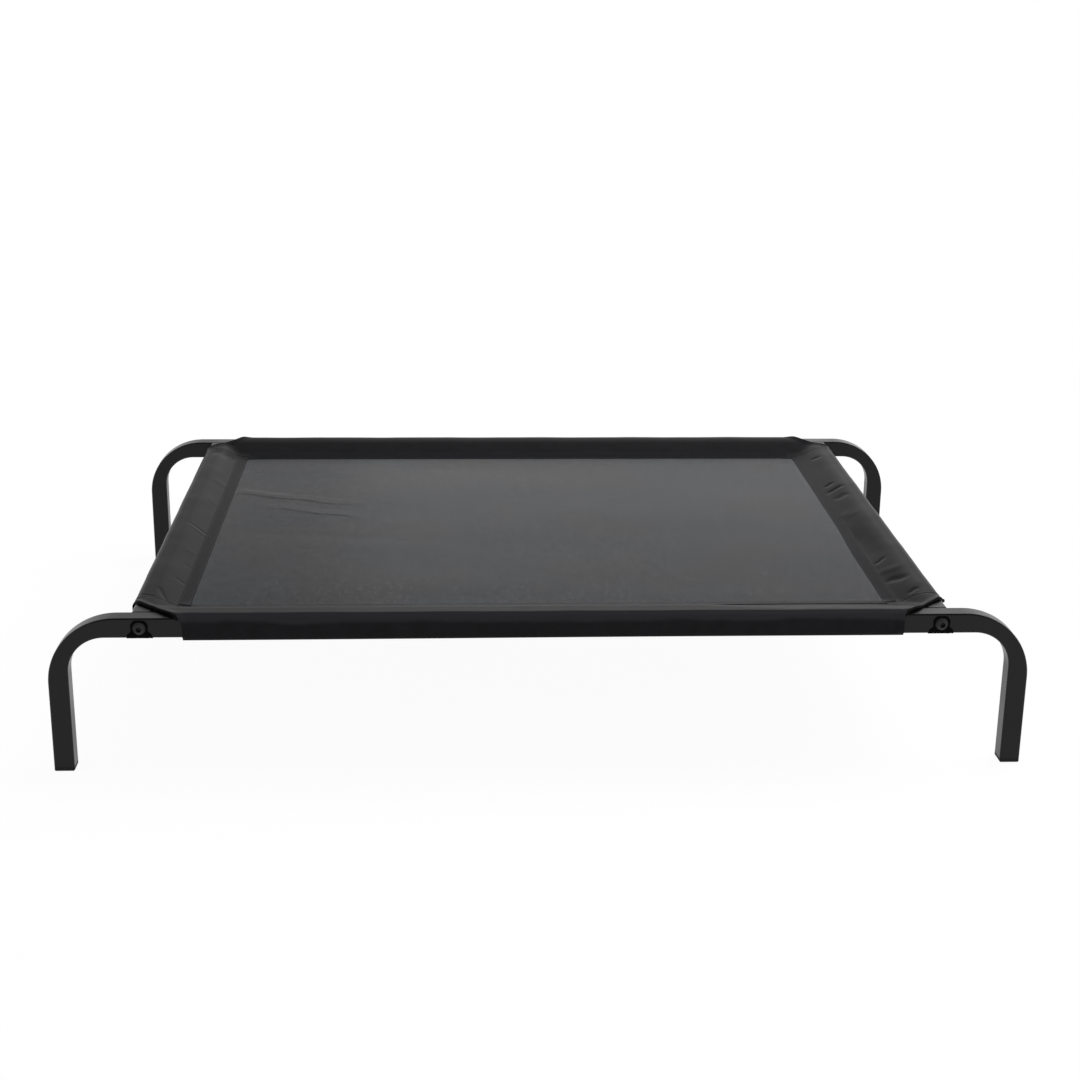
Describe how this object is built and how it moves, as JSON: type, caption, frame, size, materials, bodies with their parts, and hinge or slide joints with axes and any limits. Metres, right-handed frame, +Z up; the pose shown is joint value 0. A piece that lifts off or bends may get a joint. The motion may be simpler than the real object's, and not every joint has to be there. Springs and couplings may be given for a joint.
{
  "type": "raised dog cot",
  "caption": "Raised rectangular pet bed: a low frame of bent square tube on short legs carries a stretched mesh panel with sewn cloth pockets.",
  "frame": {"origin": "on the floor, under the middle of the bed", "axes": "+X along the length to the right, +Y to the rear, +Z up"},
  "size_m": [1.06, 0.7488, 0.1774],
  "materials": {
    "frame_tube": "semi-gloss black powder coat",
    "plain_steel": "zinc plated, out of sight",
    "bolt_steel": "black oxide",
    "foot_plastic": "moulded black",
    "mesh": "black coated open weave",
    "pocket_cloth": "black woven polyester with a slight sheen",
    "seam_tape": "black woven tape"
  },
  "bodies": {
    "root": {"front_left_leg": "frame_tube", "front_right_leg": "frame_tube", "rear_left_leg": "frame_tube", "rear_right_leg": "frame_tube", "front_rail": "frame_tube", "rear_rail": "frame_tube", "front_left_spigot": "plain_steel", "front_right_spigot": "plain_steel", "rear_left_spigot": "plain_steel", "rear_right_spigot": "plain_steel", "left_cross_bar": "frame_tube", "right_cross_bar": "frame_tube", "bar_end_nuts": "plain_steel", "corner_bolts": "bolt_steel", "front_left_foot": "foot_plastic", "front_right_foot": "foot_plastic", "rear_left_foot": "foot_plastic", "rear_right_foot": "foot_plastic", "mesh_panel": "mesh", "front_side_pocket": "pocket_cloth", "rear_side_pocket": "pocket_cloth", "left_end_pocket": "pocket_cloth", "right_end_pocket": "pocket_cloth", "front_seam_tape": "seam_tape", "rear_seam_tape": "seam_tape", "left_seam_tape": "seam_tape", "right_seam_tape": "seam_tape"}
  },
  "joints": []
}
